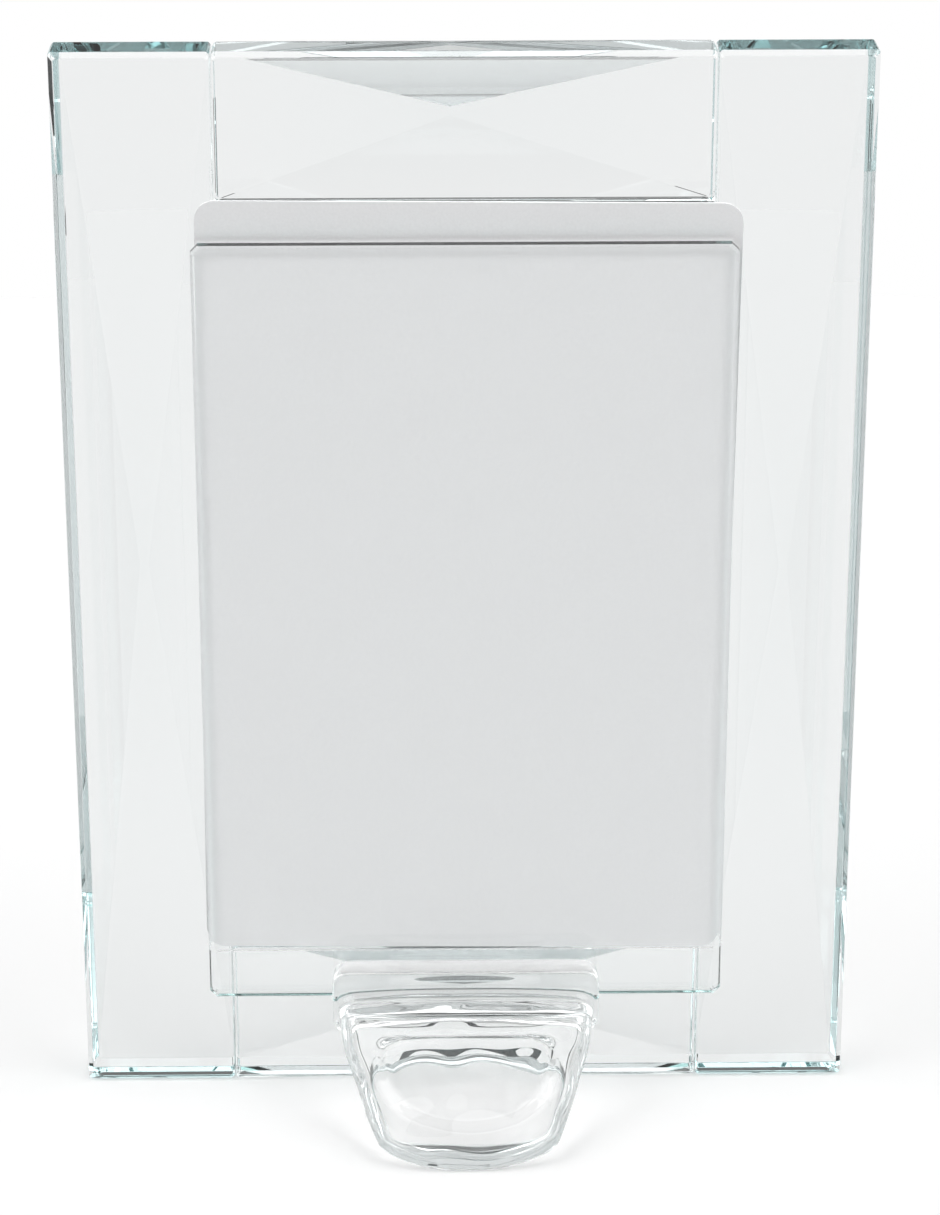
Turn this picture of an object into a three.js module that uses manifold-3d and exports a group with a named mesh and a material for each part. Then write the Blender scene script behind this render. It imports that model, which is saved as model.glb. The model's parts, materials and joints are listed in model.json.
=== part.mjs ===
// A clear cut-glass picture frame for an upright 10 x 15 cm print.
// Lengths are in millimetres. X runs across the frame, Y from its front to its back and Z up.
// The pieces are drawn upright, with the bars' rear faces at y = 0 and their lower ends at z = 0,
// inside one group that leans back until the frame stands on its rear lower edge and its foot.

import * as THREE from 'three';
import { ConvexGeometry } from 'three/addons/geometries/ConvexGeometry.js';
import { mergeVertices } from 'three/addons/utils/BufferGeometryUtils.js';
import Module from 'manifold-3d';

const wasm = await Module();
wasm.setup();

// How far the frame leans back from upright
const LEAN = THREE.MathUtils.degToRad(7);

// The card that fills the pocket, cut to the size of the print
const CARD_WIDTH = 101.6;
const CARD_HEIGHT = 152.4;
const CARD_THICKNESS = 0.6;
const CARD_CORNER_RADIUS = 3.8;

// The window, from how the card fits it: the card laps onto both stiles and onto the top rail
const CARD_LAP = 4.25;
const CARD_TOP_LAP = 1.2;

// The four glass bars, with the depth of their cut fronts. The ridge lies a little nearer to a
// bar's outer edge, where the arrises are wide. At the window and in the joints they are narrow.
const STILE_WIDTH = 29.45;
const TOP_RAIL_HEIGHT = 29.6;
const BOTTOM_RAIL_HEIGHT = 30.2;
const BAR_EDGE_DEPTH = 10.6;
const BAR_PEAK_DEPTH = 17.8;
const RIDGE_LENGTH = 1.6;
const RIDGE_SHIFT = 0.9;
const REAR_ARRIS = 1;
const FRONT_ARRIS = 1.6;
const INNER_ARRIS = 0.4;
const BAR_CORNER_ARRIS = 0.5;

// Clearances: the cured adhesive between bonded faces, and the play round the card
const BOND_LINE = 0.3;
const CARD_PLAY = 0.3;

// The clear pane that closes the window in front of the print
const PANE_THICKNESS = 3;
const PANE_ARRIS = 0.5;

// The clear plate behind the card, as wide as the card
const PLATE_THICKNESS = 3;
const PLATE_TOP_DROP = 5.7;
const PLATE_BOTTOM_LAP = 9.5;
const PLATE_CORNER = 1.4;
const PLATE_ARRIS = 0.5;

// The pressed-glass foot: a flange bonded to the plate, and a tongue down to the table
const FLANGE_WIDTH = 52.8;
const FLANGE_HEIGHT = 13.4;
const FLANGE_DEPTH = 7;
const FLANGE_LAP = 8.7;
const FLANGE_CORNER_RADIUS = 3;
const FLANGE_ROUNDING = 1.6;
const TONGUE_THICKNESS = 8.4;
const TONGUE_STEP = 3.8;
const TONGUE_LEDGE = 4.6;
const LEDGE_FALL = THREE.MathUtils.degToRad(12);
const TONGUE_BEND_RADIUS = 12;
const TONGUE_ROOT_WIDTH = 50.6;
const TAPER_START = 7;
const TAPER_SOFTNESS = 5;
const TAPER_PER_SIDE = 0.3;
const NOSE_LENGTH = 6.5;
const NOSE_SQUARENESS = 2.2;
const FOOT_REACH = 48.8;
const FOOT_GRIND = 0.5;

// How finely the round forms are faceted
const CARD_CORNER_STEPS = 8;
const FLANGE_ROUNDING_STEPS = 5;
const RIM_STEPS = 10;
const TONGUE_BEND_STEPS = 4;
const TONGUE_SLOPE_STEPS = 10;
const TONGUE_NOSE_STEPS = 12;

// The last station stops this share of a step short of the nose's tip
const TONGUE_TIP_SHARE = 0.4;

// Sizes that follow from the ones above
const windowWidth = CARD_WIDTH - 2 * CARD_LAP;
const windowHeight = CARD_HEIGHT - CARD_TOP_LAP;
const frameHeight = BOTTOM_RAIL_HEIGHT + windowHeight + TOP_RAIL_HEIGHT;
const windowBottom = BOTTOM_RAIL_HEIGHT;
const windowTop = windowBottom + windowHeight;
const plateBottom = windowBottom - PLATE_BOTTOM_LAP;
const plateTop = windowTop - PLATE_TOP_DROP;
const plateWidth = CARD_WIDTH;
const pocketDepth = CARD_THICKNESS + 2 * CARD_PLAY;
const plateRear = pocketDepth + PLATE_THICKNESS;

// Glass and paper finishes
const glass = (color) => new THREE.MeshStandardMaterial({
  color, roughness: 0.03, metalness: 0, transparent: true, opacity: 0.35,
});
const CRYSTAL = 0xe9f3f2;
const FLOAT_GLASS = 0xdfeeec;
const PRESSED_GLASS = 0xeaf1f0;
const ADHESIVE = 0xeef2f2;
const CARD_WHITE = 0xdcdcdf;

// The ways in which a bar's edges face, across and up
const RIGHT = [1, 0];
const UP = [0, 1];
const LEFT = [-1, 0];
const DOWN = [0, -1];

function named(name, geometry, material) {
  const mesh = new THREE.Mesh(geometry, material);
  mesh.name = name;
  return mesh;
}

// One level of a ground sheet: a rectangle with its corners cut, at a depth behind its rear face.
function level(width, height, inset, corner, y) {
  const x = width / 2 - inset;
  const z = height / 2 - inset;
  const points = [];
  for (const [sideX, sideZ] of [[1, 1], [1, -1], [-1, -1], [-1, 1]]) {
    points.push(new THREE.Vector3(sideX * (x - corner), y, sideZ * z));
    points.push(new THREE.Vector3(sideX * x, y, sideZ * (z - corner)));
  }
  return points;
}

// One of a bar's four edges: which way it faces, how far out it lies, and its two arrises.
function barEdge([x, z], reach, isOuter) {
  return {
    outward: new THREE.Vector3(x, 0, z),
    reach,
    rear: isOuter ? REAR_ARRIS : INNER_ARRIS,
    front: isOuter ? FRONT_ARRIS : INNER_ARRIS,
  };
}

// The two points of a bar's corner between two edges at one depth, where the edges' arrises
// have come in by their insets and the corner's own arris is cut.
function barCorner(edge, inset, next, nextInset, y) {
  return [[BAR_CORNER_ARRIS, 0], [0, BAR_CORNER_ARRIS]].map(([cut, nextCut]) => (
    edge.outward.clone().multiplyScalar(edge.reach - inset - cut)
      .addScaledVector(next.outward, next.reach - nextInset - nextCut).setY(y)
  ));
}

// A bar of the frame, ground flat behind and cut in front to four facets. They rise from the
// bar's edges to one short ridge, which lies across the bar, towards the first outer edge.
// The outer edges, named by the directions they face, get the wide arrises.
function cutBar(width, height, outer) {
  const edges = [RIGHT, UP, LEFT, DOWN].map((way) => (
    barEdge(way, way === UP || way === DOWN ? height / 2 : width / 2, outer.includes(way))
  ));
  const points = [];
  edges.forEach((edge, i) => {
    const next = edges[(i + 1) % edges.length];
    for (const depth of new Set([0, edge.rear, next.rear])) {
      const inset = Math.max(edge.rear - depth, 0);
      const nextInset = Math.max(next.rear - depth, 0);
      points.push(...barCorner(edge, inset, next, nextInset, -depth));
    }
    for (const depth of new Set([0, edge.front, next.front])) {
      const inset = Math.max(edge.front - depth, 0);
      const nextInset = Math.max(next.front - depth, 0);
      points.push(...barCorner(edge, inset, next, nextInset, depth - BAR_EDGE_DEPTH));
    }
  });
  const ridge = width < height ? RIDGE_LENGTH / 2 : 0;
  const ridgeUp = width < height ? 0 : RIDGE_LENGTH / 2;
  const [outerX, outerZ] = outer[0];
  for (const end of [-1, 1]) {
    points.push(new THREE.Vector3(
      outerX * RIDGE_SHIFT + end * ridge, -BAR_PEAK_DEPTH, outerZ * RIDGE_SHIFT + end * ridgeUp,
    ));
  }
  return new ConvexGeometry(points);
}

// A flat sheet of glass with ground arrises, its rear face at y = 0.
function groundSheet(width, height, thickness, corner, arris) {
  return new ConvexGeometry([
    ...level(width, height, arris, corner, 0),
    ...level(width, height, 0, corner, -arris),
    ...level(width, height, 0, corner, arris - thickness),
    ...level(width, height, arris, corner, -thickness),
  ]);
}

// A rectangle with round corners, centred on the origin.
function roundedRectangle(width, height, radius) {
  const x = width / 2 - radius;
  const y = height / 2 - radius;
  const quarter = Math.PI / 2;
  const outline = new THREE.Shape();
  outline.absarc(x, y, radius, 0, quarter);
  outline.absarc(-x, y, radius, quarter, 2 * quarter);
  outline.absarc(-x, -y, radius, 2 * quarter, 3 * quarter);
  outline.absarc(x, -y, radius, 3 * quarter, 4 * quarter);
  outline.closePath();
  return outline;
}

function toSolid(geometry) {
  const bare = geometry.clone();
  bare.deleteAttribute('normal');
  bare.deleteAttribute('uv');
  const merged = mergeVertices(bare, 1e-4);
  const mesh = new wasm.Mesh({
    numProp: 3,
    vertProperties: new Float32Array(merged.attributes.position.array),
    triVerts: new Uint32Array(merged.index.array),
  });
  mesh.merge();
  return new wasm.Manifold(mesh);
}

function toGeometry(solid) {
  const mesh = solid.getMesh();
  const geometry = new THREE.BufferGeometry();
  geometry.setAttribute('position', new THREE.BufferAttribute(new Float32Array(mesh.vertProperties), 3));
  geometry.setIndex(new THREE.BufferAttribute(new Uint32Array(mesh.triVerts), 1));
  geometry.computeVertexNormals();
  return geometry;
}

// A closed skin over rings of points, ending in flat caps. The rings have the same count of
// points and run anticlockwise, seen from behind the last ring.
function loft(rings) {
  const count = rings[0].length;
  const positions = rings.flat().flatMap((point) => point.toArray());
  const faces = [];
  for (let ring = 0; ring < rings.length - 1; ring += 1) {
    for (let i = 0; i < count; i += 1) {
      const a = ring * count + i;
      const b = ring * count + (i + 1) % count;
      faces.push(a, b + count, b, a, a + count, b + count);
    }
  }
  const last = (rings.length - 1) * count;
  for (let i = 1; i < count - 1; i += 1) {
    faces.push(0, i, i + 1);
    faces.push(last, last + i + 1, last + i);
  }
  const geometry = new THREE.BufferGeometry();
  geometry.setAttribute('position', new THREE.Float32BufferAttribute(positions, 3));
  geometry.setIndex(faces);
  return geometry;
}

// The leaning group, set so that the rear arris at the bars' lower end is what touches the table.
const leaning = new THREE.Group();
leaning.rotation.x = -LEAN;
leaning.position.z = -REAR_ARRIS * Math.sin(LEAN);
leaning.updateMatrixWorld();

function place(mesh, x, y, z) {
  mesh.position.set(x, y, z);
  leaning.add(mesh);
  return mesh;
}

// The bars: stiles run the full height, and the rails are bonded between them.
const crystal = glass(CRYSTAL);
const stileCentre = (windowWidth + STILE_WIDTH) / 2;
const railLength = windowWidth - 2 * BOND_LINE;
place(
  named('left_stile', cutBar(STILE_WIDTH, frameHeight, [LEFT, UP, DOWN]), crystal),
  -stileCentre, 0, frameHeight / 2,
);
place(
  named('right_stile', cutBar(STILE_WIDTH, frameHeight, [RIGHT, UP, DOWN]), crystal),
  stileCentre, 0, frameHeight / 2,
);
place(
  named('top_rail', cutBar(railLength, TOP_RAIL_HEIGHT, [UP]), crystal),
  0, 0, windowTop + TOP_RAIL_HEIGHT / 2,
);
place(
  named('bottom_rail', cutBar(railLength, BOTTOM_RAIL_HEIGHT, [DOWN]), crystal),
  0, 0, BOTTOM_RAIL_HEIGHT / 2,
);

// The pane in the window, its rear face level with the bars'.
place(
  named('window_pane', groundSheet(
    windowWidth - 2 * BOND_LINE, windowHeight - 2 * BOND_LINE, PANE_THICKNESS, PANE_ARRIS, PANE_ARRIS,
  ), glass(FLOAT_GLASS)),
  0, 0, windowBottom + windowHeight / 2,
);

// The strip that bonds the plate to the bottom rail. The card stands on its upper edge.
const strip = new THREE.BoxGeometry(
  plateWidth - 2 * PLATE_CORNER, pocketDepth - 2 * BOND_LINE, PLATE_BOTTOM_LAP - BOND_LINE,
);
place(
  named('bond_strip', strip, glass(ADHESIVE)),
  0, pocketDepth / 2, plateBottom + (PLATE_BOTTOM_LAP - BOND_LINE) / 2,
);

// The card, standing in the pocket between the bars and the plate.
const card = new THREE.ExtrudeGeometry(
  roundedRectangle(CARD_WIDTH, CARD_HEIGHT, CARD_CORNER_RADIUS),
  { depth: CARD_THICKNESS, bevelEnabled: false, curveSegments: CARD_CORNER_STEPS },
);
card.rotateX(Math.PI / 2);
card.translate(0, CARD_THICKNESS, 0);
place(
  named('insert_card', card, new THREE.MeshStandardMaterial({ color: CARD_WHITE, roughness: 0.8 })),
  0, CARD_PLAY, windowBottom + CARD_HEIGHT / 2,
);

// The plate behind the card.
const plateHeight = plateTop - plateBottom;
place(
  named('back_plate', groundSheet(plateWidth, plateHeight, PLATE_THICKNESS, PLATE_CORNER, PLATE_ARRIS),
    glass(FLOAT_GLASS)),
  0, plateRear, plateBottom + plateHeight / 2,
);

// The foot's flange: a block with round corners and rounded edges, bonded to the plate.
const flangeTop = plateBottom + FLANGE_LAP;
const flangeFront = plateRear + BOND_LINE;
const flangeRear = flangeFront + FLANGE_DEPTH;

function flange() {
  const block = new THREE.ExtrudeGeometry(
    roundedRectangle(FLANGE_WIDTH, FLANGE_HEIGHT, FLANGE_CORNER_RADIUS),
    {
      depth: FLANGE_DEPTH - 2 * FLANGE_ROUNDING,
      bevelThickness: FLANGE_ROUNDING,
      bevelSize: FLANGE_ROUNDING,
      bevelOffset: -FLANGE_ROUNDING,
      bevelSegments: FLANGE_ROUNDING_STEPS,
      curveSegments: FLANGE_ROUNDING_STEPS,
    },
  );
  block.rotateX(Math.PI / 2);
  block.translate(0, flangeRear - FLANGE_ROUNDING, flangeTop - FLANGE_HEIGHT / 2);
  return block;
}

// The tongue's stations: where its middle lies in the leaning frame's Y and Z, how far it has
// tipped down, and how far along it the station is from the flange. The line falls gently out of
// the flange as a ledge, goes round one bend and down to a nose that stands on the table.
function tongueStations() {
  const rim = TONGUE_THICKNESS / 2;
  const noseOnTable = new THREE.Vector3(0, FOOT_REACH - rim, rim - FOOT_GRIND);
  const nose = leaning.worldToLocal(noseOnTable);
  const root = new THREE.Vector2(flangeRear, flangeTop - TONGUE_STEP - rim);
  const corner = root.clone().add(new THREE.Vector2(Math.cos(LEDGE_FALL), -Math.sin(LEDGE_FALL))
    .multiplyScalar(TONGUE_LEDGE));
  const slope = new THREE.Vector2(nose.y, nose.z).sub(corner);
  const fall = Math.atan2(-slope.y, slope.x);
  const tangent = TONGUE_BEND_RADIUS * Math.tan((fall - LEDGE_FALL) / 2);
  const stations = [];
  const goOn = (distance, from, bend) => stations.push({
    y: from.y + distance * Math.cos(bend),
    z: from.z - distance * Math.sin(bend),
    bend,
    along: from.along + distance,
  });
  const start = { y: root.x, z: root.y, along: 0 };
  goOn(-FLANGE_DEPTH / 2, start, LEDGE_FALL);
  goOn(0, start, LEDGE_FALL);
  goOn(TONGUE_LEDGE - tangent, start, LEDGE_FALL);
  for (let i = 1; i <= TONGUE_BEND_STEPS; i += 1) {
    const bend = THREE.MathUtils.lerp(LEDGE_FALL, fall, i / TONGUE_BEND_STEPS);
    const middle = THREE.MathUtils.lerp(LEDGE_FALL, fall, (i - 0.5) / TONGUE_BEND_STEPS);
    goOn((TONGUE_BEND_RADIUS * (fall - LEDGE_FALL)) / TONGUE_BEND_STEPS, stations.at(-1), middle);
    stations.at(-1).bend = bend;
  }
  const bendEnd = stations.at(-1);
  const straight = slope.length() - tangent + rim;
  const slopeEnd = straight - NOSE_LENGTH;
  for (let i = 1; i <= TONGUE_SLOPE_STEPS; i += 1) {
    goOn((slopeEnd * i) / TONGUE_SLOPE_STEPS, bendEnd, fall);
  }
  for (let i = 1; i <= TONGUE_NOSE_STEPS; i += 1) {
    const turn = (i / (TONGUE_NOSE_STEPS + TONGUE_TIP_SHARE)) * (Math.PI / 2);
    goOn(slopeEnd + NOSE_LENGTH * Math.sin(turn), bendEnd, fall);
  }
  return { stations, length: bendEnd.along + straight };
}

// The tongue: a slab with a fully rounded rim that keeps its width along the ledge, then tapers
// evenly, and ends in a blunt nose with soft corners.
function tongue() {
  const rim = TONGUE_THICKNESS / 2;
  const { stations, length } = tongueStations();
  const rings = stations.map(({ y, z, bend, along }) => {
    const past = along - TAPER_START;
    const taper = (TAPER_PER_SIDE * (past + Math.hypot(past, TAPER_SOFTNESS))) / 2;
    const intoNose = Math.max(along - length + NOSE_LENGTH, 0) / NOSE_LENGTH;
    const noseShare = (1 - intoNose ** NOSE_SQUARENESS) ** (1 / NOSE_SQUARENESS);
    const halfWidth = (TONGUE_ROOT_WIDTH / 2 - taper) * noseShare;
    const intoRim = Math.max(along - length + rim, 0);
    const halfThickness = Math.sqrt(rim ** 2 - intoRim ** 2);
    const ring = [];
    for (const side of [1, -1]) {
      for (let i = 0; i <= RIM_STEPS; i += 1) {
        const turn = side * Math.PI * (i / RIM_STEPS - 0.5);
        const across = side * (halfWidth - halfThickness + halfThickness * Math.cos(turn));
        const up = halfThickness * Math.sin(turn);
        ring.push(new THREE.Vector3(across, y + up * Math.sin(bend), z + up * Math.cos(bend)));
      }
    }
    return ring;
  });
  return loft(rings);
}

// The foot: flange and tongue pressed as one, then ground flat where the tongue meets the table.
const table = new THREE.BoxGeometry(2 * FLANGE_WIDTH, 2 * FOOT_REACH, FOOT_REACH);
table.translate(0, FOOT_REACH, -FOOT_REACH / 2);
table.applyMatrix4(leaning.matrixWorld.clone().invert());
const foot = toSolid(flange()).add(toSolid(tongue())).subtract(toSolid(table));
place(named('easel_foot', toGeometry(foot), glass(PRESSED_GLASS)), 0, 0, 0);

// The whole frame, with its origin on the table under the middle of the whole.
const reach = new THREE.Box3().setFromObject(leaning, true);
leaning.position.y -= (reach.min.y + reach.max.y) / 2;
const frame = new THREE.Group();
frame.add(leaning);

export default frame;
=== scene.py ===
# A clear cut-glass picture frame for an upright 10 x 15 cm print, standing on a table and seen from
# behind. Lengths are in metres. The sections follow the frame as it is put together: the view, the
# cut bars, the sheets of float glass, the strip of adhesive, the card, the foot and the studio.

import json
import math

import bmesh
import bpy
from mathutils import Matrix, Vector


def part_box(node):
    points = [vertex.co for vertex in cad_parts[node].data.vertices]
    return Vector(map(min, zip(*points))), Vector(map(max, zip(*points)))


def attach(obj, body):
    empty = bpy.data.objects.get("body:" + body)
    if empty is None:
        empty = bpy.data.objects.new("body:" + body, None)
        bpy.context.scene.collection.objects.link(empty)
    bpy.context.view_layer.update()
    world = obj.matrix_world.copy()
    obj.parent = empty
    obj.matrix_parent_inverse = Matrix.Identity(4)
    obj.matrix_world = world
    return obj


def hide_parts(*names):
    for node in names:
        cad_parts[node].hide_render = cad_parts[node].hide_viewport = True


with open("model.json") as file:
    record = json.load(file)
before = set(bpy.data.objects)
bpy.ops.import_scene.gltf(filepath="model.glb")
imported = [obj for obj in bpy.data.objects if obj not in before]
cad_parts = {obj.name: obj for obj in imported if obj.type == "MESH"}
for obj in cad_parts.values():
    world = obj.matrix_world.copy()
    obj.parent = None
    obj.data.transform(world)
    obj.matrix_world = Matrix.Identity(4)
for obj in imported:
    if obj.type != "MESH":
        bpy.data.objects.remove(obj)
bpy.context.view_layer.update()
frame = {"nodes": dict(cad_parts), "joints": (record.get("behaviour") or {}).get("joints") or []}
MM = 0.001
WHITE = (1, 1, 1, 1)

# Light is thrown back many times inside a cut bar before it leaves, so its path may be long.
GLASS_BOUNCES = 32
CLEAR_LAYERS = 16
scene = bpy.context.scene
scene.view_settings.view_transform = "Standard"
scene.cycles.max_bounces = GLASS_BOUNCES
scene.cycles.transmission_bounces = GLASS_BOUNCES
scene.cycles.glossy_bounces = GLASS_BOUNCES
scene.cycles.transparent_max_bounces = CLEAR_LAYERS
scene.cycles.blur_glossy = 0


# The view: a camera behind the frame and above it, far enough off that the sides hardly converge.
# The pieces are worked out upright, with the bars' rear faces at y = 0 and their lower ends at
# z = 0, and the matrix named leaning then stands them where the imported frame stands.
STILE_HEIGHT = 211 * MM
REAR_ARRIS = 1 * MM
CAMERA_AZIMUTH = math.radians(0.87)
CAMERA_ELEVATION = math.radians(14.6)
CAMERA_ROLL = math.radians(-0.111)
CAMERA_DISTANCE = 729.9 * MM
CAMERA_ASIDE = -0.98 * MM
AIM_HEIGHT = 102.3 * MM
LONG_SIDE_PIXELS = 1215
FOCAL_PIXELS = 3793
SENSOR_MM = 36

slide = Vector(frame["joints"][0]["axis"])
LEAN = math.atan2(slide.y, slide.z)
stile_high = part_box("left_stile")[1]
rear_edge = Vector((
    0,
    stile_high.y - (STILE_HEIGHT - REAR_ARRIS) * math.sin(LEAN),
    -REAR_ARRIS * math.sin(LEAN),
))
leaning = Matrix.Translation(rear_edge) @ Matrix.Rotation(-LEAN, 4, "X")

camera_data = bpy.data.cameras.new("camera")
camera_data.sensor_width = SENSOR_MM
camera_data.lens = SENSOR_MM * FOCAL_PIXELS / LONG_SIDE_PIXELS
camera = bpy.data.objects.new("camera", camera_data)
camera.matrix_world = (
    Matrix.Translation(leaning @ Vector((CAMERA_ASIDE, 0, AIM_HEIGHT)))
    @ Matrix.Rotation(math.pi - CAMERA_AZIMUTH, 4, "Z")
    @ Matrix.Rotation(math.pi / 2 - CAMERA_ELEVATION, 4, "X")
    @ Matrix.Rotation(CAMERA_ROLL, 4, "Z")
    @ Matrix.Translation((0, 0, CAMERA_DISTANCE))
)
scene.collection.objects.link(camera)
scene.camera = camera


# The four bars of the frame: blocks of clear optical crystal, sawn, then ground and polished on
# cast iron to a low hip in front and a flat back. Their arrises are ground off at 45 degrees, and
# polishing eases each edge a little more. Stiles and rails are bonded end to side.
EASED_EDGE = 0.12 * MM
EASING_STEPS = 2
EASED_FROM = math.radians(2)
FLAT_WITHIN = math.radians(0.3)
SAME_PLACE = 0.001 * MM

# A bar is cut by hand, so its ridge lies a little off the middle. Each bar has the way that its
# ridge moves, and the ridge is what lies within RIDGE_DEPTH of the bar's foremost point. It sinks
# by a hair too, so that the eased ridge doesn't stand proud of the cut one.
RIDGE_DEPTH = 0.5 * MM
RIDGE_SUNK = 0.03 * MM
RIDGE_DRIFT = {
    "left_stile": Vector((0, RIDGE_SUNK, 0.6 * MM)),
    "right_stile": Vector((0, RIDGE_SUNK, 2.0 * MM)),
    "top_rail": Vector((2.6 * MM, RIDGE_SUNK, 0)),
    "bottom_rail": Vector((0, RIDGE_SUNK, 0)),
}

# Optical crystal, cerium polished. It is colourless in a thin piece and faintly blue-green along a
# whole bar, and the polishing leaves long waves a few micrometres high that bend what is seen.
CRYSTAL_IOR = 1.52
CRYSTAL_TINT = "74B8BA"
CRYSTAL_DENSITY = 4.2
CRYSTAL_WAVE = 14 * MM
CRYSTAL_WAVE_HEIGHT = 0.004 * MM


def linear(code):
    """A colour written as sRGB hex, as the linear values that the shaders take."""
    channels = [int(code[i : i + 2], 16) / 255 for i in (0, 2, 4)]
    bent = [c / 12.92 if c <= 0.04045 else ((c + 0.055) / 1.055) ** 2.4 for c in channels]
    return (*bent, 1.0)


def add(tree, kind, settings=None, inputs=None, links=None):
    """One node with its settings and input values; links maps an input to an output socket."""
    made = tree.nodes.new(kind)
    for name, value in (settings or {}).items():
        setattr(made, name, value)
    for name, value in (inputs or {}).items():
        made.inputs[name].default_value = value
    for name, socket in (links or {}).items():
        tree.links.new(socket, made.inputs[name])
    return made


def blank(name):
    """A new material with an empty tree."""
    made = bpy.data.materials.new(name)
    made.use_nodes = True
    made.node_tree.nodes.clear()
    return made, made.node_tree


def clear_glass(name, ior, tint, density, wave, wave_height):
    """Clear glass that tints what is seen through it by the length of the way through."""
    made, tree = blank(name)
    place = add(tree, "ShaderNodeTexCoord").outputs["Object"]
    waves = add(tree, "ShaderNodeTexNoise", inputs={"Scale": 1 / wave, "Detail": 1.0},
                links={"Vector": place})
    uneven = add(tree, "ShaderNodeBump", inputs={"Distance": wave_height},
                 links={"Height": waves.outputs["Fac"]})
    surface = add(tree, "ShaderNodeBsdfPrincipled", inputs={
        "Base Color": WHITE, "Roughness": 0.0, "IOR": ior, "Transmission Weight": 1.0,
    }, links={"Normal": uneven.outputs["Normal"]})
    inside = add(tree, "ShaderNodeVolumeAbsorption",
                 inputs={"Color": linear(tint), "Density": density})
    add(tree, "ShaderNodeOutputMaterial",
        links={"Surface": surface.outputs[0], "Volume": inside.outputs[0]})
    return made


def edges_eased(node, drift=None):
    """A copy of a CAD node as one mesh of flat faces, its ridge moved, with every edge eased."""
    piece = bpy.data.objects.new(node + "_polished", frame["nodes"][node].data.copy())
    scene.collection.objects.link(piece)
    bpy.ops.object.select_all(action="DESELECT")
    piece.select_set(True)
    bpy.context.view_layer.objects.active = piece
    bpy.ops.object.mode_set(mode="EDIT")
    bpy.ops.mesh.select_all(action="SELECT")
    bpy.ops.mesh.remove_doubles(threshold=SAME_PLACE)
    bpy.ops.mesh.dissolve_limited(angle_limit=FLAT_WITHIN)
    if drift:
        mesh = bmesh.from_edit_mesh(piece.data)
        upright = leaning.inverted()
        depths = {vertex: (upright @ vertex.co).y for vertex in mesh.verts}
        front = min(depths.values())
        bpy.ops.mesh.select_mode(type="VERT")
        for vertex, depth in depths.items():
            vertex.select_set(depth < front + RIDGE_DEPTH)
        bmesh.update_edit_mesh(piece.data)
        bpy.ops.transform.translate(value=leaning.to_3x3() @ drift)
    bpy.ops.object.mode_set(mode="OBJECT")
    easing = piece.modifiers.new("easing", "BEVEL")
    easing.width = EASED_EDGE
    easing.segments = EASING_STEPS
    easing.limit_method = "ANGLE"
    easing.angle_limit = EASED_FROM
    bpy.ops.object.modifier_apply(modifier="easing")
    bpy.ops.object.shade_flat()
    return piece


crystal = clear_glass("polished_crystal", CRYSTAL_IOR, CRYSTAL_TINT, CRYSTAL_DENSITY,
                      CRYSTAL_WAVE, CRYSTAL_WAVE_HEIGHT)
for node, drift in RIDGE_DRIFT.items():
    bar = edges_eased(node, drift)
    bar.data.materials.clear()
    bar.data.materials.append(crystal)
    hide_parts(node)
    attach(bar, "frame")


# The pane in front of the print and the plate behind the card: 3 mm float glass, cut to size, with
# ground arrises. The pane is bonded into the window. The plate is bonded to the bottom rail alone,
# which leaves the pocket for the card open at its top.

# Float glass is fire-polished and flat to a few micrometres over the width of a hand. It has more
# iron in it than crystal, so its edges look greener.
FLOAT_IOR = 1.52
FLOAT_TINT = "5CB8B4"
FLOAT_DENSITY = 7.0
FLOAT_WAVE = 30 * MM
FLOAT_WAVE_HEIGHT = 0.002 * MM

float_glass = clear_glass("float_glass", FLOAT_IOR, FLOAT_TINT, FLOAT_DENSITY,
                          FLOAT_WAVE, FLOAT_WAVE_HEIGHT)
for node in ("window_pane", "back_plate"):
    sheet = edges_eased(node)
    sheet.data.materials.clear()
    sheet.data.materials.append(float_glass)
    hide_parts(node)
    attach(sheet, "frame")


# The strip between the bottom rail and the plate: clear acrylic adhesive, laid thick and cured
# under ultraviolet light. It sets the depth of the pocket, and the card stands on its upper edge.

# Cured acrylic bends light a little less than glass, has next to no colour, and shrinks unevenly
# as it cures, which leaves shallow dimples a few millimetres across.
ADHESIVE_IOR = 1.49
ADHESIVE_TINT = "C8DCDC"
ADHESIVE_DENSITY = 1.0
ADHESIVE_WAVE = 6 * MM
ADHESIVE_WAVE_HEIGHT = 0.02 * MM

adhesive = clear_glass("cured_adhesive", ADHESIVE_IOR, ADHESIVE_TINT, ADHESIVE_DENSITY,
                       ADHESIVE_WAVE, ADHESIVE_WAVE_HEIGHT)
frame["nodes"]["bond_strip"].material_slots[0].material = adhesive


# The card that fills the pocket: stiff board of one print's size with punched round corners and a
# matt coated back. It is loose, so it leans over a little in its pocket and stands on one corner.
CARD_WIDTH = 101.6 * MM
CARD_HEIGHT = 152.4 * MM
CARD_THICKNESS = 0.6 * MM
CARD_CORNER = 3.8 * MM
CORNER_STEPS = 12
CARD_FRONT = 0.3 * MM
CARD_BOTTOM = 30.2 * MM
CARD_LEAN_OVER = math.radians(0.5)
CARD_SHIFT = Vector((-0.15 * MM, 0, 0.44 * MM))

# Pale grey coated board: matt, with a fine tooth and a faint cloudiness from the fibres under the
# coating, about half a millimetre across. The clouds take the middle of the pattern's range.
BOARD_DARKER = "E2E2E3"
BOARD_PALER = "E6E6E7"
BOARD_ROUGHNESS = 0.75
BOARD_FIBRE = 0.5 * MM
BOARD_TOOTH = 0.02 * MM
CLOUDS_FROM = 0.3
CLOUDS_TO = 0.7


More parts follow.
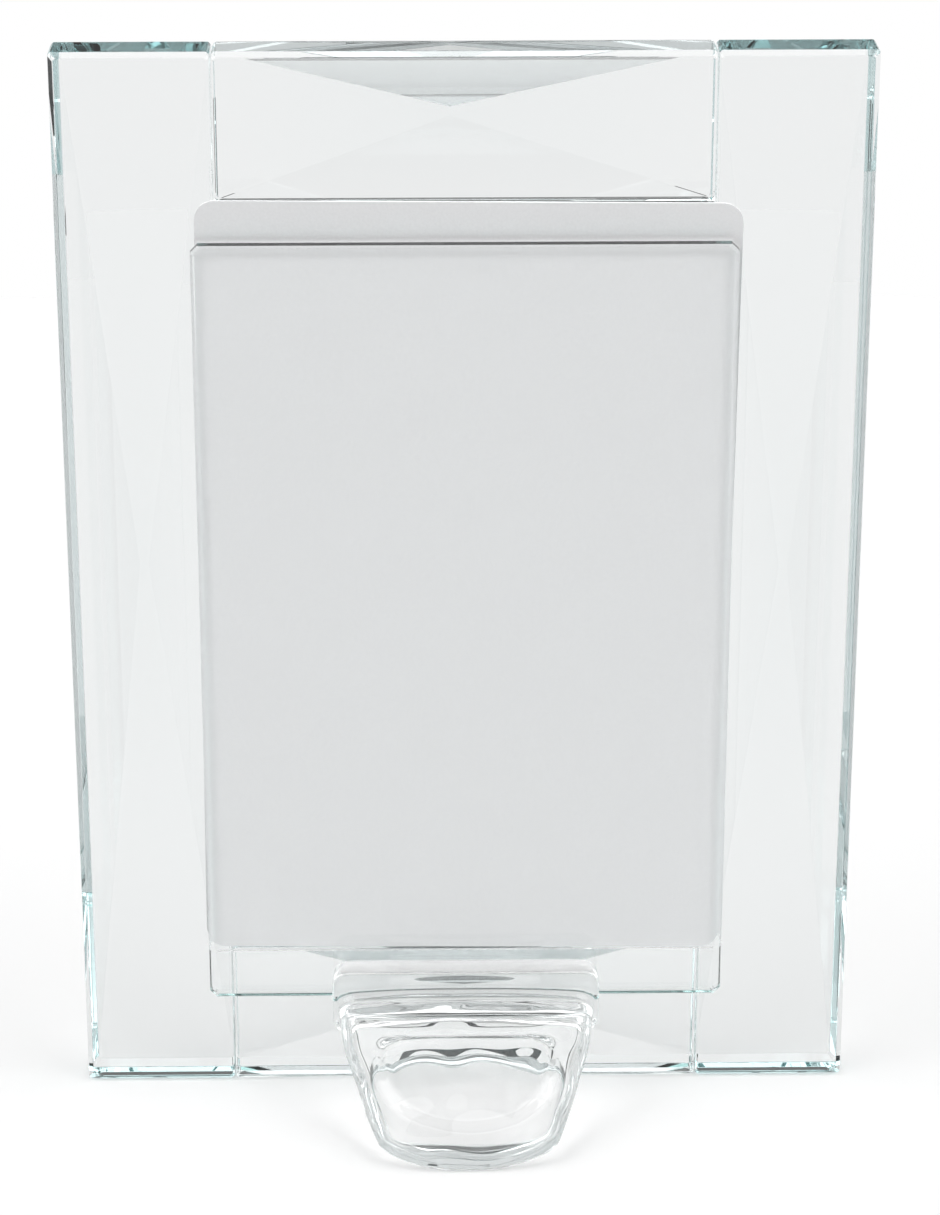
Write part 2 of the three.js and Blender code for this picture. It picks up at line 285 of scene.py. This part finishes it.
def edit(piece):
    """Opens one piece in edit mode with nothing selected."""
    if bpy.context.mode != "OBJECT":
        bpy.ops.object.mode_set(mode="OBJECT")
    bpy.ops.object.select_all(action="DESELECT")
    piece.select_set(True)
    bpy.context.view_layer.objects.active = piece
    bpy.ops.object.mode_set(mode="EDIT")
    bpy.ops.mesh.select_all(action="DESELECT")


def choose(kind, test):
    """Selects the faces or edges of the piece in edit mode that pass a test, and nothing else."""
    mesh = bmesh.from_edit_mesh(bpy.context.edit_object.data)
    bpy.ops.mesh.select_all(action="DESELECT")
    bpy.ops.mesh.select_mode(type="FACE" if kind == "faces" else "EDGE")
    for part in getattr(mesh, kind):
        part.select_set(test(part))
    mesh.select_flush_mode()
    bmesh.update_edit_mesh(bpy.context.edit_object.data)


def round_plate(name, width, height, corner, steps, middle):
    """An upright oblong with round corners, faced to the front and left selected in edit mode."""
    bpy.ops.object.select_all(action="DESELECT")
    bpy.ops.mesh.primitive_plane_add(size=1, location=middle, rotation=(math.pi / 2, 0, 0))
    piece = bpy.context.object
    piece.name = name
    piece.scale = (width, height, 1)
    bpy.ops.object.transform_apply(location=True, rotation=True, scale=True)
    edit(piece)
    bpy.ops.mesh.select_all(action="SELECT")
    bpy.ops.mesh.bevel(offset=corner, segments=steps, affect="VERTICES")
    choose("faces", lambda face: True)
    return piece


card_middle = Vector((0, CARD_FRONT, CARD_BOTTOM + CARD_HEIGHT / 2))
card = round_plate("insert_card_board", CARD_WIDTH, CARD_HEIGHT, CARD_CORNER, CORNER_STEPS,
                   card_middle)
bpy.ops.mesh.extrude_region_move(TRANSFORM_OT_translate={"value": (0, CARD_THICKNESS, 0)})
bpy.ops.mesh.select_all(action="SELECT")
bpy.ops.mesh.normals_make_consistent(inside=False)
bpy.ops.transform.rotate(value=CARD_LEAN_OVER, orient_axis="Y", center_override=card_middle)
bpy.ops.transform.translate(value=CARD_SHIFT)
bpy.ops.object.mode_set(mode="OBJECT")
card.data.transform(leaning)
bpy.ops.object.shade_flat()

coated_board, tree = blank("coated_board")
place = add(tree, "ShaderNodeTexCoord").outputs["Object"]
fibres = add(tree, "ShaderNodeTexNoise", inputs={"Scale": 1 / BOARD_FIBRE, "Detail": 3.0},
             links={"Vector": place})
clouds = add(tree, "ShaderNodeMapRange", inputs={"From Min": CLOUDS_FROM, "From Max": CLOUDS_TO},
             links={"Value": fibres.outputs["Fac"]})
tone = add(tree, "ShaderNodeMix", {"data_type": "RGBA"}, links={"Factor": clouds.outputs[0]})
tone.inputs["A"].default_value = linear(BOARD_DARKER)
tone.inputs["B"].default_value = linear(BOARD_PALER)
tooth = add(tree, "ShaderNodeBump", inputs={"Distance": BOARD_TOOTH},
            links={"Height": fibres.outputs["Fac"]})
surface = add(tree, "ShaderNodeBsdfPrincipled", inputs={"Roughness": BOARD_ROUGHNESS},
              links={"Base Color": tone.outputs["Result"], "Normal": tooth.outputs[0]})
add(tree, "ShaderNodeOutputMaterial", links={"Surface": surface.outputs[0]})
card.data.materials.append(coated_board)
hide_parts("insert_card")
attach(card, "card")


# The foot: one pressing of clear glass, shaped like a bracket. A flange with round corners is
# bonded to the rear plate, and a broad tongue bends down from it to a blunt nose on the table.
# It is fire-polished and not cut, so every edge is round and its faces undulate slightly.
FLANGE_WIDTH = 52.8 * MM
FLANGE_HEIGHT = 13.4 * MM
FLANGE_DEPTH = 7 * MM
FLANGE_FRONT = 4.5 * MM
FLANGE_TOP = 29.4 * MM
FLANGE_CORNER = 3 * MM
FLANGE_ROUNDING = 0.8 * MM
FLANGE_ARRIS = 0.5 * MM
RIM_STEPS = 4
PANEL_CUTS = 5

# The tongue's section and its middle line: a ledge, one tight bend and a straight slope.
TONGUE_ROOT_WIDTH = 50.6 * MM
TONGUE_THICKNESS = 8.4 * MM
TONGUE_RIM = 3.6 * MM
TONGUE_STEP = 3.8 * MM
TONGUE_LEDGE = 4.6 * MM
LEDGE_FALL = math.radians(12)
BEND_LENGTH = 2.4 * MM
SLOPE_STEPS = 6
TAPER = 0.3
TAPER_START = 7 * MM
TAPER_SOFTNESS = 5 * MM
PILLOW_ABOVE = 0.3
PILLOW_BELOW = 0.8
PILLOW_POWER = 3

# The nose: rounded above over half the thickness and below over a longer way, and ground flat.
NOSE_LENGTH = 6.5 * MM
NOSE_SQUARENESS = 2.2
NOSE_FALL = 11 * MM
NOSE_STEPS = 8
NOSE_BLUNT = 0.4
NOSE_DROP = 1.2 * MM
FOOT_REACH = 48.8 * MM
FOOT_GRIND = 0.5 * MM

# The shallow hollow that the mould leaves in the underside: straight above and round below.
HOLLOW_DEPTH = 1.5 * MM
HOLLOW_HALF_WIDTH = 16.5 * MM
HOLLOW_MIDDLE = 14.7 * MM
HOLLOW_BELOW = 14.5 * MM
HOLLOW_ABOVE = 7.5 * MM
HOLLOW_ROUND = 2.2
HOLLOW_SQUARE = 6
HOLLOW_EDGE = 0.07

# The finish: how round the sections flow into each other, and how the pressed faces undulate.
SUBDIVISIONS = 3
UNDULATION = 0.5 * MM
UNDULATION_SIZE = 9 * MM
SMOOTH_UP_TO = math.radians(35)
SEAM_WITHIN = 0.01 * MM
TIP_WITHIN = 0.05 * MM

# Pressed glass is common soda-lime glass, greyer in the thick than crystal. The cold mould leaves
# low ripples in it, about 9 mm long.
PRESSED_IOR = 1.52
PRESSED_TINT = "8CA0A0"
PRESSED_DENSITY = 5.0
PRESSED_WAVE = 9 * MM
PRESSED_WAVE_HEIGHT = 0.01 * MM


def pull(start, end, widen=1, thicken=1, turn=0):
    """Extrudes the selected section from start to end, then scales it there and tips it down."""
    bpy.ops.mesh.extrude_region_move(TRANSFORM_OT_translate={"value": end - start})
    bpy.ops.transform.resize(value=(widen, thicken, thicken), center_override=end)
    if turn:
        bpy.ops.transform.rotate(value=turn, orient_axis="X", center_override=end)


def pressing(name, width, height, corner, middle):
    """The first section of a pressing, with cuts across its broad sides, left in edit mode."""
    piece = round_plate(name, width, height, corner, RIM_STEPS, middle)
    choose("edges", lambda edge: edge.calc_length() > width / 2)
    bpy.ops.mesh.subdivide(number_cuts=PANEL_CUTS)
    choose("faces", lambda face: True)
    return piece


# The flange, pulled back from its bonded face ring by ring. Each ring is a depth and an inset.
flange_middle = FLANGE_TOP - FLANGE_HEIGHT / 2
flange_rear = FLANGE_FRONT + FLANGE_DEPTH
flange = pressing("flange", FLANGE_WIDTH - 2 * FLANGE_ARRIS, FLANGE_HEIGHT - 2 * FLANGE_ARRIS,
                  FLANGE_CORNER, Vector((0, FLANGE_FRONT, flange_middle)))
rings = [
    (FLANGE_FRONT, FLANGE_ARRIS),
    (FLANGE_FRONT + FLANGE_ARRIS, 0),
    (FLANGE_FRONT + FLANGE_DEPTH / 2, 0),
    (flange_rear - FLANGE_ROUNDING, 0),
    (flange_rear - FLANGE_ROUNDING / 4, FLANGE_ROUNDING / 4),
    (flange_rear, FLANGE_ROUNDING),
]
for (near, inset), (far, next_inset) in zip(rings, rings[1:]):
    wide = (FLANGE_WIDTH - 2 * next_inset) / (FLANGE_WIDTH - 2 * inset)
    tall = (FLANGE_HEIGHT - 2 * next_inset) / (FLANGE_HEIGHT - 2 * inset)
    pull(Vector((0, near, flange_middle)), Vector((0, far, flange_middle)), wide, tall)
bpy.ops.mesh.delete(type="FACE")
bpy.ops.object.mode_set(mode="OBJECT")

# The tongue's middle line. Each station is a place, how far the section is tipped there, and how
# far along the line it is.
half = TONGUE_THICKNESS / 2
root = Vector((0, flange_rear, FLANGE_TOP - TONGUE_STEP - half))
nose = leaning.inverted() @ Vector((0, rear_edge.y + FOOT_REACH - half,
                                    half - FOOT_GRIND - NOSE_DROP))
ledge = Vector((0, math.cos(LEDGE_FALL), -math.sin(LEDGE_FALL)))
corner = root + ledge * TONGUE_LEDGE
downhill = (nose - corner).normalized()
slope_fall = math.atan2(-downhill.z, downhill.y)
upward = Vector((0, math.sin(slope_fall), math.cos(slope_fall)))
bend_start = TONGUE_LEDGE - BEND_LENGTH / 2
bend_end = TONGUE_LEDGE + BEND_LENGTH / 2
length = TONGUE_LEDGE + (nose - corner).length + half
slope_end = length - NOSE_LENGTH


def nose_depths(along):
    """How far the upper and the lower face of the tongue stand from its middle line there."""
    above, below = (max(along - length + rim, 0) / rim for rim in (half, NOSE_FALL))
    return half * math.sqrt(1 - above**2), half * math.sqrt(1 - below**2)


def tongue_section(along):
    """The tongue's width and thickness at a distance along its middle line."""
    past = along - TAPER_START
    width = TONGUE_ROOT_WIDTH - TAPER * (past + math.hypot(past, TAPER_SOFTNESS))
    into_nose = max(along - slope_end, 0) / NOSE_LENGTH
    width *= (1 - into_nose**NOSE_SQUARENESS) ** (1 / NOSE_SQUARENESS)
    return width, sum(nose_depths(along))


stations = [
    (root, 0, 0),
    (root + ledge * bend_start, LEDGE_FALL, bend_start),
    (corner + (downhill - ledge) * BEND_LENGTH / 8, (LEDGE_FALL + slope_fall) / 2, TONGUE_LEDGE),
]
downs = [bend_end + (slope_end - bend_end) * step / SLOPE_STEPS for step in range(SLOPE_STEPS + 1)]
for step in range(1, NOSE_STEPS + 1):
    turned = step / (NOSE_STEPS + NOSE_BLUNT) * math.pi / 2
    downs.append(slope_end + NOSE_LENGTH * math.sin(turned))
for along in downs:
    upper, lower = nose_depths(along)
    middle = corner + downhill * (along - TONGUE_LEDGE) + upward * (upper - lower) / 2
    stations.append((middle, slope_fall, along))

# The tongue, pulled from a section with pillowed faces. Its end is closed across, and its root is
# joined to the flange by a ring of faces.
wide, thick = tongue_section(0)
tongue = pressing("easel_foot_pressed", wide, thick, TONGUE_RIM, root)
mesh = bmesh.from_edit_mesh(tongue.data)
for vertex in mesh.verts:
    pillow = PILLOW_ABOVE if vertex.co.z > root.z else PILLOW_BELOW
    thinner = 1 - pillow * abs(2 * vertex.co.x / wide) ** PILLOW_POWER
    vertex.co.z = root.z + (vertex.co.z - root.z) * thinner
bmesh.update_edit_mesh(tongue.data)
for (start, tip, along), (end, next_tip, next_along) in zip(stations, stations[1:]):
    next_wide, next_thick = tongue_section(next_along)
    pull(start, end, next_wide / wide, next_thick / thick, next_tip - tip)
    wide, thick = next_wide, next_thick
tip_place = stations[-1][0]


def at_tip(vertex):
    """Whether a vertex lies on the last section of the tongue."""
    return (vertex.co - tip_place).dot(downhill) > -TIP_WITHIN


def across_tip(edge):
    """Whether an open edge of the last section runs across it, and isn't at one of its ends."""
    ends = all(abs(vertex.co.x) > widest - SAME_PLACE for vertex in edge.verts)
    return edge.is_boundary and all(at_tip(vertex) for vertex in edge.verts) and not ends


bpy.ops.mesh.delete(type="FACE")
choose("faces", lambda face: abs(face.calc_center_median().y - flange_rear) < SEAM_WITHIN)
bpy.ops.mesh.delete(type="FACE")
mesh = bmesh.from_edit_mesh(tongue.data)
widest = max(vertex.co.x for vertex in mesh.verts if at_tip(vertex))
choose("edges", across_tip)
bpy.ops.mesh.bridge_edge_loops()
bpy.ops.object.mode_set(mode="OBJECT")
bpy.ops.object.select_all(action="DESELECT")
flange.select_set(True)
tongue.select_set(True)
bpy.context.view_layer.objects.active = tongue
bpy.ops.object.join()
foot = tongue
edit(foot)
choose("edges", lambda edge: edge.is_boundary)
bpy.ops.mesh.bridge_edge_loops()
bpy.ops.mesh.select_all(action="SELECT")
bpy.ops.mesh.normals_make_consistent(inside=False)
bpy.ops.object.mode_set(mode="OBJECT")
rounding = foot.modifiers.new("rounding", "SUBSURF")
rounding.levels = rounding.render_levels = SUBDIVISIONS
bpy.ops.object.modifier_apply(modifier="rounding")

# The hollow underneath, its edge softened over a small share of its size.
sunk = foot.vertex_groups.new(name="sunk")
for vertex in foot.data.vertices:
    from_corner = vertex.co - corner
    past = from_corner.dot(downhill) + TONGUE_LEDGE - HOLLOW_MIDDLE
    power = HOLLOW_ROUND if past > 0 else HOLLOW_SQUARE
    past = past / HOLLOW_BELOW if past > 0 else -past / HOLLOW_ABOVE
    from_middle = (abs(vertex.co.x / HOLLOW_HALF_WIDTH) ** power + past**power) ** (1 / power)
    inside = min(max((1 + HOLLOW_EDGE - from_middle) / (2 * HOLLOW_EDGE), 0), 1)
    if from_corner.dot(upward) < -half / 2:
        sunk.add([vertex.index], inside * inside * (3 - 2 * inside), "REPLACE")
hollow = foot.modifiers.new("hollow", "DISPLACE")
hollow.vertex_group = "sunk"
hollow.strength = -HOLLOW_DEPTH
hollow.mid_level = 0
bpy.ops.object.modifier_apply(modifier="hollow")

# The undulation, which fades out towards the flange's flat bonded side.
drawn = foot.vertex_groups.new(name="drawn")
for vertex in foot.data.vertices:
    away = (vertex.co.y - flange_rear) / TAPER_START
    drawn.add([vertex.index], min(max(away, 0), 1), "REPLACE")
swell = bpy.data.textures.new("swell", "CLOUDS")
swell.noise_scale = UNDULATION_SIZE
swell.noise_depth = 0
waves = foot.modifiers.new("waves", "DISPLACE")
waves.texture = swell
waves.vertex_group = "drawn"
waves.strength = UNDULATION
waves.mid_level = 0.5
bpy.ops.object.modifier_apply(modifier="waves")

# The flat on which the foot stands: all that would reach into the table is ground off.
foot.data.transform(leaning)
edit(foot)
mesh = bmesh.from_edit_mesh(foot.data)
bpy.ops.mesh.select_mode(type="VERT")
for vertex in mesh.verts:
    vertex.select_set(vertex.co.z < 0)
bmesh.update_edit_mesh(foot.data)
bpy.ops.transform.resize(value=(1, 1, 0), center_override=(0, 0, 0))
bpy.ops.object.mode_set(mode="OBJECT")
bpy.ops.object.shade_smooth_by_angle(angle=SMOOTH_UP_TO)
pressed_glass = clear_glass("pressed_glass", PRESSED_IOR, PRESSED_TINT, PRESSED_DENSITY,
                            PRESSED_WAVE, PRESSED_WAVE_HEIGHT)
foot.data.materials.clear()
foot.data.materials.append(pressed_glass)
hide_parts("easel_foot")
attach(foot, "frame")


# The studio: a round table of matt white board in a room with pale low walls. In front and behind,
# the walls turn dark from ten degrees up, and only the sides stay pale. One large soft box hangs
# overhead, and one stands high at each side behind the frame.

# The board is matt and evenly pale. What the camera sees of it, straight or through the glass, is
# lifted towards white without a stronger light on the frame, and the frame's shadow stays.
TABLE_RADIUS = 0.95
TABLE_SIDES = 64
TABLE_BELOW = 0.2 * MM
TABLE_WHITE = "A8A8A8"
TABLE_LIFT = 0.42
TABLE_LIFT_IN_GLASS = 0.32

# Two strips covered in black flock stand in front, as is usual for clear glass: its edges and
# facets show them dark. Only light that has gone through the glass meets them. Each has a middle,
# a width and height, and a turn.
FLAG_BLACK = "1C1F20"
FLAG_THICKNESS = 4 * MM
FLAGS = {
    "far_flag": (Vector((0, -1.5, 0.165)), (3.0, 0.035), 0),
    "side_flag": (Vector((-0.305, -0.9, 0.045)), (0.07, 0.06), math.radians(-17)),
}

# The room's levels, where 1 is white. Its limits are heights of a direction (the sine of its angle
# above the level), shares of a direction to the side, or cosines of the angle from a soft box.
ROOM_PALE = 0.9
ROOM_DARK = 0.16
PALE_TOP = 0.17
DARK_FROM = 0.23
DARK_ASIDE = 0.3
PALE_ASIDE = 0.5
OVERHEAD = 2.2
OVERHEAD_FROM = 0.88
OVERHEAD_FULL = 0.93
SOFTBOX = 3.4
SOFTBOX_WAY = Vector((0.612, 0.354, 0.707))
SOFTBOX_FROM = 0.87
SOFTBOX_FULL = 0.94

bpy.ops.object.select_all(action="DESELECT")
bpy.ops.mesh.primitive_circle_add(vertices=TABLE_SIDES, radius=TABLE_RADIUS, fill_type="NGON",
                                  location=(0, 0, -TABLE_BELOW))
table = bpy.context.object
table.name = "floor"
bpy.ops.object.transform_apply(location=True, rotation=True, scale=True)
matt_board, tree = blank("matt_white_board")
board = add(tree, "ShaderNodeBsdfDiffuse", inputs={"Color": linear(TABLE_WHITE)})
path = add(tree, "ShaderNodeLightPath")
in_glass = add(tree, "ShaderNodeMath", {"operation": "MULTIPLY"}, {1: TABLE_LIFT_IN_GLASS},
               {0: path.outputs["Is Transmission Ray"]})
lift = add(tree, "ShaderNodeMath", {"operation": "MULTIPLY_ADD"}, {1: TABLE_LIFT},
           {0: path.outputs["Is Camera Ray"], 2: in_glass.outputs[0]})
glow = add(tree, "ShaderNodeEmission", links={"Strength": lift.outputs[0]})
both = add(tree, "ShaderNodeAddShader", links={0: board.outputs[0], 1: glow.outputs[0]})
add(tree, "ShaderNodeOutputMaterial", links={"Surface": both.outputs[0]})
table.data.materials.append(matt_board)

flock, tree = blank("black_flock")
pile = add(tree, "ShaderNodeBsdfDiffuse", inputs={"Color": linear(FLAG_BLACK)})
unseen = add(tree, "ShaderNodeBsdfTransparent")
path = add(tree, "ShaderNodeLightPath")
shown = add(tree, "ShaderNodeMixShader", links={
    0: path.outputs["Is Transmission Ray"], 1: unseen.outputs[0], 2: pile.outputs[0],
})
add(tree, "ShaderNodeOutputMaterial", links={"Surface": shown.outputs[0]})
for name, (middle, (width, height), turn) in FLAGS.items():
    bpy.ops.object.select_all(action="DESELECT")
    bpy.ops.mesh.primitive_cube_add(size=1, location=middle, rotation=(0, 0, turn))
    flag = bpy.context.object
    flag.name = name
    flag.scale = (width, FLAG_THICKNESS, height)
    bpy.ops.object.transform_apply(location=True, rotation=True, scale=True)
    flag.data.materials.append(flock)

# The room itself. The camera sees it white, and everything else sees its walls and soft boxes.
room = bpy.data.worlds.new("studio")
scene.world = room
room.use_nodes = True
tree = room.node_tree
tree.nodes.clear()
place = add(tree, "ShaderNodeTexCoord").outputs["Generated"]
way = add(tree, "ShaderNodeSeparateXYZ", links={0: place})
soft = {"interpolation_type": "SMOOTHSTEP"}
walls = add(tree, "ShaderNodeMapRange", soft,
            {"From Min": PALE_TOP, "From Max": DARK_FROM, "To Min": ROOM_PALE, "To Max": ROOM_DARK},
            {"Value": way.outputs["Z"]})
across = add(tree, "ShaderNodeMath", {"operation": "ABSOLUTE"}, links={0: way.outputs["X"]})
sides = add(tree, "ShaderNodeMapRange", soft, {"From Min": DARK_ASIDE, "From Max": PALE_ASIDE},
            {"Value": across.outputs[0]})
lined = add(tree, "ShaderNodeMix", {"data_type": "FLOAT"}, {"B": ROOM_PALE},
            {"Factor": sides.outputs["Result"], "A": walls.outputs["Result"]})
overhead = add(tree, "ShaderNodeMapRange", soft,
               {"From Min": OVERHEAD_FROM, "From Max": OVERHEAD_FULL, "To Max": OVERHEAD},
               {"Value": way.outputs["Z"]})
folded = add(tree, "ShaderNodeCombineXYZ", links={
    "X": across.outputs[0], "Y": way.outputs["Y"], "Z": way.outputs["Z"],
})
toward = add(tree, "ShaderNodeVectorMath", {"operation": "DOT_PRODUCT"}, {1: SOFTBOX_WAY},
             {0: folded.outputs[0]})
boxes = add(tree, "ShaderNodeMapRange", soft,
            {"From Min": SOFTBOX_FROM, "From Max": SOFTBOX_FULL, "To Max": SOFTBOX},
            {"Value": toward.outputs["Value"]})
lights = add(tree, "ShaderNodeMath", {"operation": "MAXIMUM"},
             links={0: overhead.outputs["Result"], 1: boxes.outputs["Result"]})
level = add(tree, "ShaderNodeMath", {"operation": "MAXIMUM"},
            links={0: lined.outputs["Result"], 1: lights.outputs[0]})
grey = add(tree, "ShaderNodeBackground", inputs={"Color": WHITE},
           links={"Strength": level.outputs[0]})
white = add(tree, "ShaderNodeBackground", inputs={"Color": WHITE})
path = add(tree, "ShaderNodeLightPath")
mixed = add(tree, "ShaderNodeMixShader", links={
    0: path.outputs["Is Camera Ray"], 1: grey.outputs[0], 2: white.outputs[0],
})
add(tree, "ShaderNodeOutputWorld", links={"Surface": mixed.outputs[0]})
